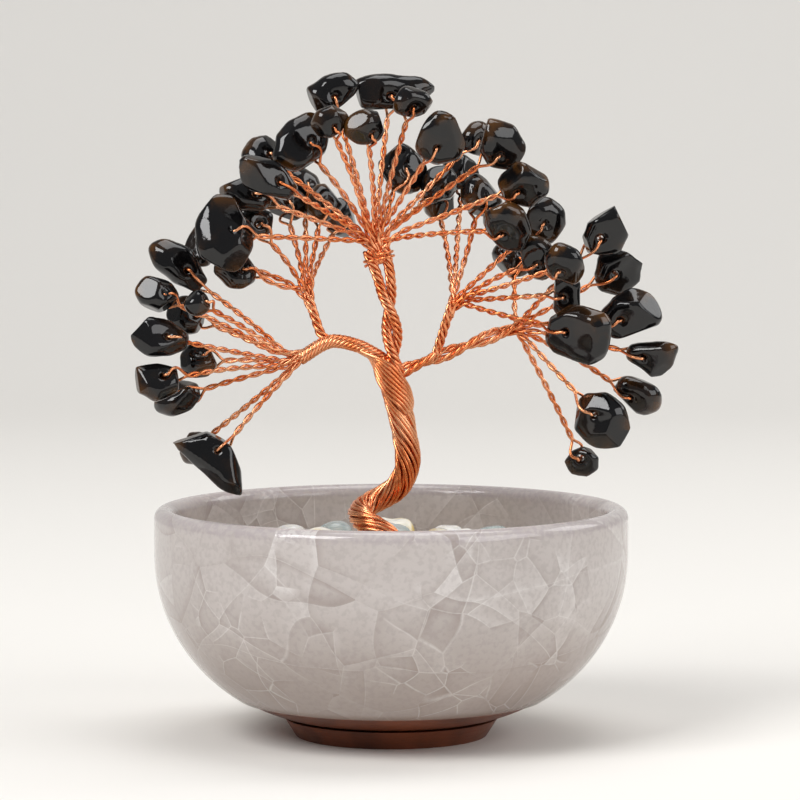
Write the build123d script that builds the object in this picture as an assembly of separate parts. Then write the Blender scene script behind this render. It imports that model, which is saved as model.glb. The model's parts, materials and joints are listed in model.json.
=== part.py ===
from build123d import *
from math import asin, cos, degrees, radians, sin, sqrt, tau
import os

os.makedirs("parts", exist_ok=True)

# A wire tree with drilled stone chips, set in a small glazed bowl.
# Millimetres, +Z up, the front faces -Y, the origin is the middle of the foot's rest face.

# Bowl: thrown wall on one quarter curve, rounded lip, turned foot
bowl_radius = 32.5
bowl_height = 31.5
bowl_wall = 2.9
curve_radius = 8.8
curve_height = 25.0
foot_radius = 13.2
foot_flare = 1.6
foot_height = 2.5
foot_sink = 0.7
foot_ring = 3.2
foot_hollow = 1.5
glaze_edge = 5.2
glaze_thickness = 0.25

# Setting bed that holds the root, and the loose stones on it
bed_height = 23.5
bed_gap = 0.1
socket_gap = 0.3
stone_length = 6.4
stone_width = 5.0
stone_height = 3.9
stone_ring = 9.6
stone_ring_step = 6.6
stone_gap = 0.1
stone_ring_counts = (8, 12)
stone_size_shares = [1, 0.86, 0.94, 0.8]
stone_spin_share = 1.7
stone_ring_shares = [(0.68, 0), (1, 0.42), (0.62, 1)]

# Trunk and boughs: bundles of twisted wire
trunk_low_radius = 1.5
trunk_top_radius = 1.85
trunk_lay = 15.0
trunk_strands = 8
root_depth = 6.0
root_loop = 6.0
fork_height = 50.6
fork_gap = 0.15
leader_radius = 1.3
bough_radius = 1.15
small_bough_radius = 0.68
bough_lay = 8.0
bough_strands = 6
small_bough_strands = 5
left_arch = 2.5
left_split_share = 0.68
right_split_share = 0.25
ring_step = 1.5
strand_groove_share = 0.84

# Twigs: one wire folded round a stone and twisted into a pair
wire_radius = 0.26
twist_pitch = 4.2
twig_gap = 0.12
twig_reach = 20.0
crown_height = 67.8
left_upper_height = 61.2
left_lower_height = 51.2
right_upper_height = 59.7
right_lower_height = 56.1
crown_offset = -2.3
left_upper_offset = -11.7
left_lower_offset = -12.7
right_upper_offset = 8.4
right_lower_offset = 17.0
bough_depth = 1.5

# Drilled chips
chip_length = 7.0
chip_width = 5.0
chip_thickness = 2.6
hole_radius = 0.5
hole_share = 0.36
chip_gap = 0.25
loop_neck = 1.3
bevel_share = 0.7
facet_shift_share = 0.06
wedge_share = 0.3

# Tie round the head of the leader
tie_turns = 1.75
tie_drop = 2.2
tie_pitch = 0.65
tie_turn_points = 10

pair_radius = 2 * wire_radius
quarter = tau / 4


def flat(*points):
    """Return a flat face on the given corners."""
    return Face(Wire.make_polygon(points))


def skin(rings):
    """Close a row of rings of corners into one solid of flat faces."""
    faces = [flat(*reversed(rings[0])), flat(*rings[-1])]
    for low, high in zip(rings, rings[1:]):
        for i, corner in enumerate(low):
            j = (i + 1) % len(low)
            faces.append(flat(corner, low[j], high[j]))
            faces.append(flat(corner, high[j], high[i]))
    return Solid(Shell(faces))


def frames(points):
    """Yield each point with two unit vectors across the path, carried along without spin."""
    side = None
    for i, point in enumerate(points):
        before = points[max(i - 1, 0)]
        after = points[min(i + 1, len(points) - 1)]
        along = (after - before).normalized()
        if side is None:
            side = along.cross(Vector(0, 1, 0)).normalized()
        side = (side - along * side.dot(along)).normalized()
        yield point, side, along.cross(side)


def smooth(corners):
    """Return evenly spaced points on a smooth curve through the corners."""
    path = Spline(*corners)
    count = max(3, round(path.length / ring_step))
    return [path @ (i / count) for i in range(count + 1)]


def rope(corners, start_radius, end_radius, strands, lay):
    """Return a bundle of strands wound along a curve, as one fluted solid."""
    points = smooth(corners)
    rings = []
    travelled = 0
    for i, (point, side, across) in enumerate(frames(points)):
        if i:
            travelled += (point - points[i - 1]).length
        share = i / (len(points) - 1)
        crest = start_radius + (end_radius - start_radius) * share
        ring = []
        for k in range(2 * strands):
            angle = tau * (k / (2 * strands) + travelled / lay)
            radius = crest * (strand_groove_share if k % 2 else 1)
            ring.append(point + side * (radius * cos(angle)) + across * (radius * sin(angle)))
        rings.append(ring)
    return skin(rings)


# Bowl and bed: every wall curve is a quarter ellipse about one centre, set in from the outside
curve_bottom = foot_height - foot_sink
wall_span = bowl_radius - curve_radius
wall_drop = curve_height - curve_bottom
lip_radius = bowl_wall / 2


def curve_angle(inset, height):
    """Return how far below the belly a height lies on a wall curve, in degrees."""
    return degrees(asin((curve_height - height) / (wall_drop - inset)))


def on_curve(inset, height):
    """Return the point at a height on a wall curve."""
    angle = radians(curve_angle(inset, height))
    return Vector(curve_radius + (wall_span - inset) * cos(angle), height)


def curve_arc(inset, low_angle, high_angle):
    """Return the stretch of a wall curve between two angles below the belly."""
    centre = (curve_radius, curve_height)
    return EllipticalCenterArc(
        centre, wall_span - inset, wall_drop - inset, -low_angle, arc_size=low_angle - high_angle
    )


def make_bowl():
    """Return the bowl, turned from one outline of clay and glaze."""
    foot_inner = foot_radius - foot_ring
    lip_height = bowl_height - lip_radius
    floor_height = curve_bottom + bowl_wall
    foot_top = on_curve(glaze_thickness, foot_height)
    clay_edge = on_curve(glaze_thickness, glaze_edge)
    glaze_start = on_curve(0, glaze_edge)
    belly_top = Vector(bowl_radius, curve_height)
    lip_outside = Vector(bowl_radius, lip_height)
    lip_inside = Vector(bowl_radius - bowl_wall, lip_height)
    lip_crest = Vector(bowl_radius - lip_radius, bowl_height)
    wall_foot = Vector(bowl_radius - bowl_wall, curve_height)
    floor_edge = Vector(curve_radius, floor_height)
    outline = [
        Polyline(
            (0, foot_hollow),
            (foot_inner - foot_hollow / 2, foot_hollow),
            (foot_inner, 0),
            (foot_radius, 0),
            (foot_radius + foot_flare, foot_height),
            foot_top,
        ),
        curve_arc(
            glaze_thickness,
            curve_angle(glaze_thickness, foot_height),
            curve_angle(glaze_thickness, glaze_edge),
        ),
        Line(clay_edge, glaze_start),
        curve_arc(0, curve_angle(0, glaze_edge), 0),
        Line(belly_top, lip_outside),
        ThreePointArc(lip_outside, lip_crest, lip_inside),
        Line(lip_inside, wall_foot),
        curve_arc(bowl_wall, degrees(quarter), 0),
        Polyline(floor_edge, (0, floor_height), (0, foot_hollow)),
    ]
    return revolve(Plane.XZ * make_face(outline), Axis.Z)


def make_bed():
    """Return the bed that fills the bowl, with a socket for the root."""
    inset = bowl_wall + bed_gap
    floor_edge = Vector(curve_radius, curve_bottom + inset)
    top_edge = on_curve(inset, bed_height)
    outline = [
        Polyline((0, bed_height), (0, curve_bottom + inset), floor_edge),
        curve_arc(inset, degrees(quarter), curve_angle(inset, bed_height)),
        Line(top_edge, (0, bed_height)),
    ]
    bed = revolve(Plane.XZ * make_face(outline), Axis.Z)
    socket = Cylinder(
        trunk_low_radius + socket_gap,
        root_depth + socket_gap,
        align=(Align.CENTER, Align.CENTER, Align.MAX),
    )
    return bed - Pos(root_side, root_front, bed_height) * socket


# Trunk, from the root in the bed, round its loop and up to the fork
loop_path_shares = [
    (0.13, -0.77, 0.088),
    (-0.08, -0.76, 0.164),
    (-0.42, -0.66, 0.211),
    (-0.68, -0.36, 0.24),
    (-0.72, 0.05, 0.268),
    (-0.48, 0.33, 0.301),
    (-0.08, 0.28, 0.348),
    (0.24, 0.12, 0.414),
    (0.38, 0.02, 0.509),
    (0.34, 0, 0.622),
    (0.22, 0, 0.754),
    (0.08, 0, 0.877),
    (-0.02, 0, 1),
]
root_depth_shares = [1, 0.7, 0.4, 0.1]
trunk_rise = fork_height - bed_height
root_side = loop_path_shares[0][0] * root_loop
root_front = loop_path_shares[0][1] * root_loop


def make_trunk():
    """Return the trunk: its root straight up out of the bed, its loop, and its rise to the fork."""
    corners = []
    for depth_share in root_depth_shares:
        corners.append(Vector(root_side, root_front, bed_height - depth_share * root_depth))
    for side_share, depth_share, rise_share in loop_path_shares:
        rise = bed_height + rise_share * trunk_rise
        corners.append(Vector(side_share * root_loop, depth_share * root_loop, rise))
    return rope(corners, trunk_low_radius, trunk_top_radius, trunk_strands, trunk_lay)


# Boughs: each ends just under the point its twigs spread from
fork_side = loop_path_shares[-1][0] * root_loop
crown_root = Vector(crown_offset, 0, crown_height)
left_upper_root = Vector(left_upper_offset, bough_depth, left_upper_height)
left_lower_root = Vector(left_lower_offset, -bough_depth / 2, left_lower_height)
right_upper_root = Vector(right_upper_offset, -bough_depth, right_upper_height)
right_lower_root = Vector(right_lower_offset, bough_depth / 2, right_lower_height)
seat = pair_radius + twig_gap


def bough(corners, root, start_radius, end_radius, strands):
    """Return a bough along the corners that ends a seat short of its twigs' root."""
    end = root - (root - corners[-1]).normalized() * seat
    return rope([*corners, end], start_radius, end_radius, strands, bough_lay)


leader_start = Vector(fork_side + leader_radius / 3, 0, fork_height + 2 * fork_gap)
leader_bend = leader_start + (crown_root - leader_start) / 2 + Vector(leader_radius / 2, 0, 0)
left_bough_start = leader_start + Vector(-leader_radius - bough_radius, 0, bough_radius + fork_gap)
left_split = left_bough_start + (left_lower_root - left_bough_start) * left_split_share
left_split += Vector(0, 0, left_arch)
right_bough_start = Vector(fork_side + trunk_top_radius + bough_radius / 2, 0, fork_height - fork_gap)
right_split = right_bough_start + (right_lower_root - right_bough_start) * right_split_share


def make_leader():
    """Return the rope that goes on from the trunk to the crown."""
    return bough([leader_start, leader_bend], crown_root, leader_radius, leader_radius, bough_strands)


def make_left_bough():
    """Return the rope that arches out to the lower left twigs."""
    corners = [left_bough_start, left_split]
    return bough(corners, left_lower_root, bough_radius, small_bough_radius, bough_strands)


def make_right_bough():
    """Return the rope that leaves the trunk's side for the lower right twigs."""
    corners = [right_bough_start, right_split]
    return bough(corners, right_lower_root, bough_radius, small_bough_radius, bough_strands)


def branch(split, root):
    """Return a small bough that rises from a larger one at its split."""
    up = (root - split).normalized()
    start = split + up * (bough_radius + small_bough_radius / 2 + fork_gap)
    middle = (start + root) / 2
    return bough([start, middle], root, small_bough_radius, small_bough_radius, small_bough_strands)


def make_tie():
    """Return the wire wound round the leader's head."""
    upward = (crown_root - leader_bend).normalized()
    side = upward.cross(Vector(0, 1, 0)).normalized()
    across = upward.cross(side)
    head = crown_root - upward * (tie_drop + seat)
    turn_radius = leader_radius + wire_radius + 2 * twig_gap
    count = round(tie_turns * tie_turn_points)
    points = []
    for i in range(count + 1):
        angle = tau * tie_turns * i / count
        rise = tie_pitch * tie_turns * i / count
        turn = side * cos(angle) + across * sin(angle)
        points.append(head + turn * turn_radius + upward * rise)
    return wire(points)


def wire(points):
    """Return a bare wire along the points, with four flats."""
    rings = []
    for point, side, across in frames(points):
        ring = []
        for k in range(4):
            angle = quarter * k
            ring.append(point + (side * cos(angle) + across * sin(angle)) * wire_radius)
        rings.append(ring)
    return skin(rings)


# Twig tables: bearing in degrees from +X towards +Z, reach and depth as shares of twig_reach,
# chip length and width as shares of their sizes, roll of the hole in degrees from the front,
# outline of the chip, and whether the chip hangs at the front, at the rear or loose.
crown_twig_shares = [
    (177, 1.02, -0.25, 1.00, 1.60, 20, "round", "front"),
    (6, 0.92, -0.30, 0.71, 1.36, 30, "round", "front"),
    (93, 0.78, -0.42, 0.54, 1.24, 20, "long", "front"),
    (58, 0.84, -0.40, 1.00, 1.40, 15, "round", "loose"),
    (125, 0.85, -0.12, 0.84, 1.44, 25, "shard", "front"),
    (36, 1.08, -0.10, 0.86, 1.30, 20, "shard", "front"),
    (84, 1.02, 0.16, 0.62, 1.84, 10, "long", "front"),
    (148, 0.84, -0.34, 1.28, 0.64, 10, "long", "front"),
    (106, 1.05, -0.02, 0.60, 1.46, 10, "long", "front"),
    (110, 0.87, -0.45, 0.51, 1.12, 15, "shard", "front"),
    (75, 0.99, -0.34, 0.54, 0.84, 20, "shard", "front"),
    (142, 0.96, 0.08, 0.64, 1.00, 30, "round", "front"),
    (160, 0.93, -0.02, 1.03, 0.84, 25, "shard", "front"),
    (21, 1.09, -0.34, 0.84, 1.20, 25, "shard", "front"),
    (69, 0.53, 0.40, 0.86, 1.20, 20, "round", "rear"),
    (39, 0.58, 0.38, 0.64, 0.90, 30, "shard", "rear"),
    (45, 1.00, 0.34, 0.57, 0.80, 20, "round", "rear"),
]
left_upper_twig_shares = [
    (164, 0.50, -0.12, 0.77, 0.72, 20, "shard", "front"),
    (127, 0.58, 0.02, 0.72, 0.72, 25, "shard", "front"),
    (158, 0.78, 0.10, 0.52, 1.00, 15, "long", "front"),
    (105, 0.61, 0.35, 0.72, 1.00, 30, "round", "rear"),
    (92, 0.70, 0.62, 0.72, 1.00, 20, "shard", "rear"),
    (79, 0.59, 0.32, 0.72, 0.90, 15, "round", "rear"),
    (64, 0.53, 0.62, 0.72, 0.90, 25, "shard", "rear"),
]
left_lower_twig_shares = [
    (168, 0.96, -0.34, 1.04, 0.90, 15, "round", "front"),
    (141, 1.05, 0.02, 1.28, 0.92, 20, "long", "front"),
    (228, 0.85, -0.12, 0.80, 2.60, 10, "three", "loose"),
    (196, 0.89, 0.14, 0.93, 0.84, 25, "round", "front"),
    (153, 1.07, -0.24, 0.69, 0.76, 20, "shard", "front"),
    (185, 0.96, -0.40, 1.00, 1.16, 20, "shard", "loose"),
    (156, 0.81, 0.04, 0.72, 1.00, 10, "shard", "front"),
    (178, 0.69, -0.02, 0.69, 0.80, 30, "round", "front"),
    (220, 0.96, 0.34, 0.64, 0.90, 20, "shard", "front"),
    (146, 0.79, -0.40, 0.38, 0.54, 30, "round", "front"),
]
right_upper_twig_shares = [
    (4, 0.78, -0.12, 0.54, 1.08, 15, "shard", "front"),
    (98, 0.68, 0.64, 0.72, 1.00, 25, "round", "rear"),
    (42, 0.84, 0.14, 0.72, 0.90, 20, "round", "front"),
    (-13, 0.86, -0.42, 1.28, 1.50, 10, "square", "loose"),
    (85, 0.86, 0.66, 0.72, 1.00, 20, "shard", "rear"),
    (74, 0.74, 0.34, 0.72, 1.00, 20, "round", "rear"),
    (27, 0.66, -0.02, 0.69, 0.92, 25, "round", "front"),
    (19, 0.80, -0.40, 0.62, 0.84, 20, "shard", "front"),
]
right_lower_twig_shares = [
    (90, 0.46, 0.40, 0.72, 0.90, 20, "shard", "rear"),
    (-63, 1.05, 0.16, 0.64, 1.00, 20, "round", "loose"),
    (47, 0.90, -0.10, 1.21, 1.30, 10, "shard", "loose"),
    (6, 0.78, -0.14, 1.04, 1.28, 15, "round", "front"),
    (-30, 0.97, 0.12, 0.86, 0.96, 25, "long", "front"),
    (29, 0.82, 0.08, 1.03, 1.40, 20, "round", "front"),
    (-12, 0.94, -0.16, 0.89, 1.16, 15, "three", "loose"),
    (-47, 0.86, -0.16, 1.21, 1.40, 15, "round", "loose"),
]
fans = {
    "crown": (crown_root, crown_twig_shares),
    "left_upper": (left_upper_root, left_upper_twig_shares),
    "left_lower": (left_lower_root, left_lower_twig_shares),
    "right_upper": (right_upper_root, right_upper_twig_shares),
    "right_lower": (right_lower_root, right_lower_twig_shares),
}
# Chip outlines: corners as shares of half the length, from the hole's end, and of half the width
outline_shares = {
    "round": [
        (-1, -0.35), (-1, 0.3), (-0.55, 0.85), (0.2, 1),
        (0.85, 0.6), (1, -0.2), (0.5, -0.9), (-0.4, -1),
    ],
    "long": [
        (-1, -0.4), (-0.9, 0.45), (-0.2, 1), (0.6, 0.85),
        (1, 0.1), (0.8, -0.65), (0.1, -1),
    ],
    "shard": [
        (-1, -0.3), (-0.8, 0.6), (0.1, 1),
        (1, 0.35), (0.75, -0.6), (-0.2, -1),
    ],
    "three": [
        (-1, -0.25), (-1, 0.25), (0.65, 1),
        (1, 0.75), (0.95, -0.7), (0.6, -1),
    ],
    "square": [
        (-1, -0.55), (-1, 0.5), (-0.6, 0.95), (0.75, 1),
        (1, 0.7), (0.95, -0.8), (0.6, -1), (-0.7, -0.9),
    ],
}


def twig_places(root, rows):
    """Yield the shared places of each twig of a fan: tip, hole and chip, in order."""
    ways = []
    for bearing, reach_share, depth_share, length_share, width_share, roll, outline, place in rows:
        bearing_way = Vector(cos(radians(bearing)), 0, sin(radians(bearing)))
        reach = bearing_way * (reach_share * twig_reach) + Vector(0, depth_share * twig_reach, 0)
        along = reach.normalized()
        front = Vector(0, -1, 0)
        facing = (front - along * front.dot(along)).normalized()
        across = along.cross(facing)
        hole_axis = facing * cos(radians(roll)) + across * sin(radians(roll))
        length = length_share * chip_length
        width = width_share * chip_width
        thickness = chip_thickness * (1 + sqrt(length * width) / chip_length) / 2
        hole = root + reach - along * (length * (1 / 2 - hole_share))
        tip = hole - along * (length * hole_share + loop_neck)
        start = seat
        for other in ways:
            spread = along.cross(other).length
            if along.dot(other) > 0:
                start = max(start, (2 * pair_radius + twig_gap) / spread)
        ways.append(along)
        yield {
            "start": root + along * start,
            "tip": tip,
            "hole": hole,
            "along": along,
            "hole_axis": hole_axis,
            "across": hole_axis.cross(along),
            "length": length,
            "width": width,
            "thickness": thickness,
            "outline": outline_shares[outline],
            "place": place,
        }


def make_twig(twig):
    """Return a twisted pair from its start to its tip, its strands side by side at the tip."""
    run = twig["tip"] - twig["start"]
    count = max(2, round(run.length / twist_pitch * 4))
    rings = []
    for i in range(count + 1):
        turn = quarter * (count - i)
        wide = twig["hole_axis"] * cos(turn) + twig["across"] * sin(turn)
        narrow = twig["across"] * cos(turn) - twig["hole_axis"] * sin(turn)
        point = twig["start"] + run * (i / count)
        wide *= pair_radius
        narrow *= wire_radius
        rings.append([point + wide, point + narrow, point - wide, point - narrow])
    return skin(rings)


def make_loop(twig):
    """Return the bare wire from one strand, through the chip's hole and back to the other."""
    leg = twig["thickness"] / 2 + chip_gap + wire_radius
    neck = twig["tip"] + twig["along"] * loop_neck
    foot_side = twig["hole_axis"] * wire_radius
    leg_side = twig["hole_axis"] * leg
    square_end = twig["along"] * wire_radius
    return wire(
        [
            twig["tip"] + foot_side,
            twig["tip"] + foot_side + square_end,
            neck + leg_side,
            twig["hole"] + leg_side,
            twig["hole"] - leg_side,
            neck - leg_side,
            twig["tip"] - foot_side + square_end,
            twig["tip"] - foot_side,
        ]
    )


def chip_ring(twig, size_share, height, shift):
    """Return one outline of a chip, scaled, at a height along its hole axis, thicker to one side."""
    middle = twig["hole"] + twig["along"] * (twig["length"] * (1 / 2 - hole_share))
    ring = []
    for along_share, across_share in twig["outline"]:
        along = twig["along"] * ((along_share * size_share + shift) * twig["length"] / 2)
        across = twig["across"] * (across_share * size_share * twig["width"] / 2)
        rise = height * (1 + wedge_share * across_share)
        ring.append(middle + along + across + twig["hole_axis"] * rise)
    return ring


def make_chip(twig):
    """Return a tumbled chip with a hole drilled through it."""
    half = twig["thickness"] / 2
    rings = [
        chip_ring(twig, bevel_share, -half, facet_shift_share),
        chip_ring(twig, 1, -half * (1 - bevel_share), 0),
        chip_ring(twig, 1, half * (1 - bevel_share), 0),
        chip_ring(twig, bevel_share, half, -facet_shift_share),
    ]
    stone = skin(rings)
    drill = Cylinder(hole_radius, 2 * twig["thickness"])
    return stone - Plane(twig["hole"], z_dir=twig["hole_axis"]) * drill


def make_stone(angle, radius, size_share):
    """Return one loose stone lying on the bed."""
    spin = angle * stone_spin_share
    place = Vector(radius * cos(angle), radius * sin(angle), bed_height + stone_gap)
    rings = []
    for scale_share, height_share in stone_ring_shares:
        ring = []
        for along_share, across_share in outline_shares["round"]:
            x = along_share * scale_share * size_share * stone_length / 2
            y = across_share * scale_share * size_share * stone_width / 2
            ring.append(
                place
                + Vector(
                    x * cos(spin) - y * sin(spin),
                    x * sin(spin) + y * cos(spin),
                    height_share * size_share * stone_height,
                )
            )
        rings.append(ring)
    return skin(rings)


def make_stones():
    """Return the loose stones in two rings round the root, sorted by their three colours."""
    groups = {"white_stones": [], "yellow_stones": [], "clear_stones": []}
    colours = list(groups)
    for ring, count in enumerate(stone_ring_counts):
        radius = stone_ring + ring * stone_ring_step
        for i in range(count):
            size_share = stone_size_shares[(i + ring) % len(stone_size_shares)]
            stone = make_stone(tau * i / count, radius, size_share)
            groups[colours[(i + ring) % len(colours)]].append(stone)
    return {name: Compound(stones) for name, stones in groups.items()}


def main():
    """Build every piece and write each node."""
    nodes = {
        "bowl": make_bowl(),
        "setting_bed": make_bed(),
        "trunk": make_trunk(),
        "leader": make_leader(),
        "left_bough": make_left_bough(),
        "left_upper_bough": branch(left_split, left_upper_root),
        "right_bough": make_right_bough(),
        "right_upper_bough": branch(right_split, right_upper_root),
        "crown_tie": make_tie(),
    }
    loops = []
    rear_chips = []
    for fan, (root, rows) in fans.items():
        twigs = []
        for number, twig in enumerate(twig_places(root, rows), 1):
            twigs.append(make_twig(twig))
            loops.append(make_loop(twig))
            chip = make_chip(twig)
            if twig["place"] == "rear":
                rear_chips.append(chip)
            else:
                nodes[f"{fan}_chip_{number}"] = chip
        nodes[f"{fan}_twigs"] = Compound(twigs)
    nodes["wire_loops"] = Compound(loops)
    nodes["rear_chips"] = Compound(rear_chips)
    nodes.update(make_stones())
    for name, shape in nodes.items():
        export_step(shape, f"parts/{name}.step")


main()
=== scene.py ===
import bmesh
import bpy
import json
import math
import numpy as np
import random
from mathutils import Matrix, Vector, noise


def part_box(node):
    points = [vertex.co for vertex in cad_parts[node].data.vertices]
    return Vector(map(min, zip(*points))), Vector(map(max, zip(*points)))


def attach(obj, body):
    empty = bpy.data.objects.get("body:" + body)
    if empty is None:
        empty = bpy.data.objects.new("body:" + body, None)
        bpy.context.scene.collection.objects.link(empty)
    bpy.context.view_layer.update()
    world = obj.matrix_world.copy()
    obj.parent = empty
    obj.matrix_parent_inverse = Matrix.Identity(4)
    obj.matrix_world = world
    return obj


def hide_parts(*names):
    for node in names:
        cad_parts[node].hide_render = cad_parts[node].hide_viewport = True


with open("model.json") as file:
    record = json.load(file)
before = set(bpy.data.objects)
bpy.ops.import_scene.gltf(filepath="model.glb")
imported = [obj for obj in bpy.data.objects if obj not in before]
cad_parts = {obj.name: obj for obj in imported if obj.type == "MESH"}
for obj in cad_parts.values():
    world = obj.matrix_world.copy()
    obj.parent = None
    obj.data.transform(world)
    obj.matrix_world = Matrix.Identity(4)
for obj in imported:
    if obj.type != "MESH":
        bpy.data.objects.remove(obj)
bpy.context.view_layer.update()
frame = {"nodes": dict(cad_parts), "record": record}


# Studio: a pale paper sweep under and behind the object, lit by large soft boxes.
# The paper is matt and even, so only the object has gloss.
PAPER_WHITE = "#efece7"
PAPER_ROUGHNESS = 0.9
PAPER_GLOSS = 0.1
AIR_GREY = "#e6e8ec"
AIR_STRENGTH = 0.3
SWEEP_HALF_WIDTH = 5
SWEEP_FRONT = -5
SWEEP_BACK = 0.55
SWEEP_RADIUS = 0.5
SWEEP_TOP = 1.7
SWEEP_STEPS = 24
AIM = Vector((0.0012, 0, 0.0461))
EYE = Vector((0.0012, -0.495, 0.0834))
LENS_MM = 163
SENSOR_MM = 36
CLIP_START = 0.01
# Each soft box: where it stands, its width and its watts
soft_boxes = {
    "key_box": ((-0.55, -0.55, 0.75), 0.5, 7.3),
    "fill_box": ((0.75, -0.5, 0.45), 0.6, 3.2),
    "top_box": ((0.1, 0.15, 1.0), 0.6, 3.4),
    "rim_box": ((0.7, 0.3, 0.5), 0.4, 1.3),
}


def linear(hex_colour):
    """Turn an sRGB hex colour into linear RGBA."""
    channels = [int(hex_colour[i:i + 2], 16) / 255 for i in (1, 3, 5)]
    return (*(c / 12.92 if c <= 0.04045 else ((c + 0.055) / 1.055) ** 2.4 for c in channels), 1)


def add(tree, kind, out=0, settings=None, **inputs):
    """Add a node with its settings and links, and return one of its outputs.

    An input called in_0, in_1 and so on goes by number, any other by name.
    """
    node = tree.nodes.new(kind)
    for name, value in (settings or {}).items():
        setattr(node, name, value)
    for name, value in inputs.items():
        key = int(name[3:]) if name.startswith("in_") else name.replace("_", " ")
        if isinstance(value, bpy.types.NodeSocket):
            tree.links.new(value, node.inputs[key])
        else:
            node.inputs[key].default_value = linear(value) if isinstance(value, str) else value
    return node.outputs[out]


def new_material(name, **values):
    """Return a material, its node tree and its shader, with plain values set on the shader."""
    material = bpy.data.materials.new(name)
    material.use_nodes = True
    shader = material.node_tree.nodes["Principled BSDF"]
    for key, value in values.items():
        value = linear(value) if isinstance(value, str) else value
        shader.inputs[key.replace("_", " ")].default_value = value
    return material, material.node_tree, shader


def smooth_mesh(name, points, faces, material):
    """Return a smooth-shaded mesh of one material."""
    mesh = bpy.data.meshes.new(name)
    mesh.from_pydata([tuple(point) for point in points], [], faces)
    mesh.polygons.foreach_set("use_smooth", [True] * len(mesh.polygons))
    mesh.materials.append(material)
    return mesh


def place_on_stage(name, data, place=(0, 0, 0)):
    """Add an object to the scene, turned to face the ornament if it stands away from it."""
    thing = bpy.data.objects.new(name, data)
    bpy.context.collection.objects.link(thing)
    if any(place):
        thing.location = place
        thing.rotation_euler = (AIM - Vector(place)).to_track_quat("-Z", "Y").to_euler()
    return thing


def make_sweep():
    """Return the paper: flat under the object, then curved up behind it."""
    paper, _, _ = new_material(
        "matt_paper", Base_Color=PAPER_WHITE, Roughness=PAPER_ROUGHNESS, Specular_IOR_Level=PAPER_GLOSS
    )
    line = [(SWEEP_FRONT, 0)]
    for turn in np.linspace(0, math.pi / 2, SWEEP_STEPS + 1):
        line.append((SWEEP_BACK + SWEEP_RADIUS * math.sin(turn), SWEEP_RADIUS * (1 - math.cos(turn))))
    line.append((SWEEP_BACK + SWEEP_RADIUS, SWEEP_TOP))
    points = [(side, y, z) for y, z in line for side in (-SWEEP_HALF_WIDTH, SWEEP_HALF_WIDTH)]
    faces = [(2 * i, 2 * i + 1, 2 * i + 3, 2 * i + 2) for i in range(len(line) - 1)]
    return smooth_mesh("paper_sweep", points, faces, paper)


place_on_stage("paper_sweep", make_sweep())
for name, (place, size, watts) in soft_boxes.items():
    lamp = bpy.data.lights.new(name, "AREA")
    lamp.energy = watts
    lamp.size = size
    place_on_stage(name, lamp, place)
world = bpy.data.worlds.new("studio_air")
world.use_nodes = True
air = world.node_tree.nodes["Background"]
air.inputs["Color"].default_value = linear(AIR_GREY)
air.inputs["Strength"].default_value = AIR_STRENGTH
lens = bpy.data.cameras.new("front_camera")
lens.lens = LENS_MM
lens.sensor_width = SENSOR_MM
lens.clip_start = CLIP_START
scene = bpy.context.scene
scene.world = world
scene.view_settings.view_transform = "Standard"
scene.camera = place_on_stage("front_camera", lens, EYE)


# Bowl: wheel-thrown stoneware under a thick pale grey glaze that has crazed in overlapping panes.
# Each pane leans a little, so it is lighter to one side and ends in a fine pale crack. The foot
# was wiped clean before firing and is bare red-brown clay with fine turning lines.
MM = 0.001
GLAZE_PALE = "#d2ccc9"
GLAZE_DEEP = "#a59a95"
# Painted shade: a darker, warmer glaze colour painted over the lower bowl, where the body turns under away
# from the lamps.
GLAZE_PAINTED_SHADE = "#95847a"
GLAZE_CRACK = "#e6e2df"
GLAZE_FLECK = "#8f8482"
GLAZE_THIN = "#7d6455"
RIM_MAUVE = "#b3a9aa"
CLAY_BROWN = "#7a3d1f"
CLAY_DARK = "#562811"
GLAZE_IOR = 1.52
ARC_PANE = 24 * MM
LARGE_PANE = 12 * MM
SMALL_PANE = 5.6 * MM
ARC_STRETCH = (1, 1, 1.9)
CRACK = 0.12 * MM
GLOW = 1.3 * MM
CRACK_BEND = 5 * MM
BEND_GRAIN = 15 * MM
BEND_DETAIL = 1
PATCH_GRAIN = 12 * MM
FLECK_GRAIN = 0.7 * MM
GLAZE_DETAIL = 3
GLAZE_SWELL = 7 * MM
GLAZE_RELIEF = 0.2 * MM
GLAZE_EDGE = 5.2 * MM
EDGE_FADE = 0.12 * MM
EDGE_THIN = 1.1 * MM
PAINTED_SHADE_START = 7 * MM
PAINTED_SHADE_END = 24 * MM
RIM_BAND = 2.2 * MM
CLAY_GRAIN = 6 * MM
CLAY_DETAIL = 5
COIL_GRAIN = 0.5 * MM
COIL_STRETCH = (0.1, 0.1, 1)
MID_TONE = 0.55
ARC_CONTRAST = 0.7
PANE_CONTRAST = 0.6
TONE_RELIEF = 0.6
CRACK_RELIEF = 0.1
RELIEF_STRENGTH = 0.4
HALF = (0.5, 0.5, 0.5)
SOFT = {"interpolation_type": "SMOOTHSTEP"}
COLOURS = {"data_type": "RGBA"}
TIMES = {"operation": "MULTIPLY"}
TIMES_ADD = {"operation": "MULTIPLY_ADD"}
LESS = {"operation": "SUBTRACT"}
LARGER = {"operation": "MAXIMUM"}
ALONG = {"operation": "DOT_PRODUCT"}
TO_EDGE = {"feature": "DISTANCE_TO_EDGE"}
NEAR = {"To_Min": 1, "To_Max": 0}
GLOW_SHARES = {"To_Min": 1.6, "To_Max": 0.5}
PATCH_SHARES = {"From_Min": 0.47, "From_Max": 0.56}
CRACK_SHARES = {"From_Min": 0.4, "From_Max": 0.68, "To_Min": 0.04, "To_Max": 0.45}
FLECK_SHARES = {"From_Min": 0.36, "From_Max": 0.56, "To_Min": 0.2, "To_Max": 0}
RIM_SHARES = {"From_Min": 0.42, "From_Max": 0.6, "To_Min": 0.7, "To_Max": 0.1}
FIRING_SHARES = {"From_Min": 0.3, "From_Max": 0.7}
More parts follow.
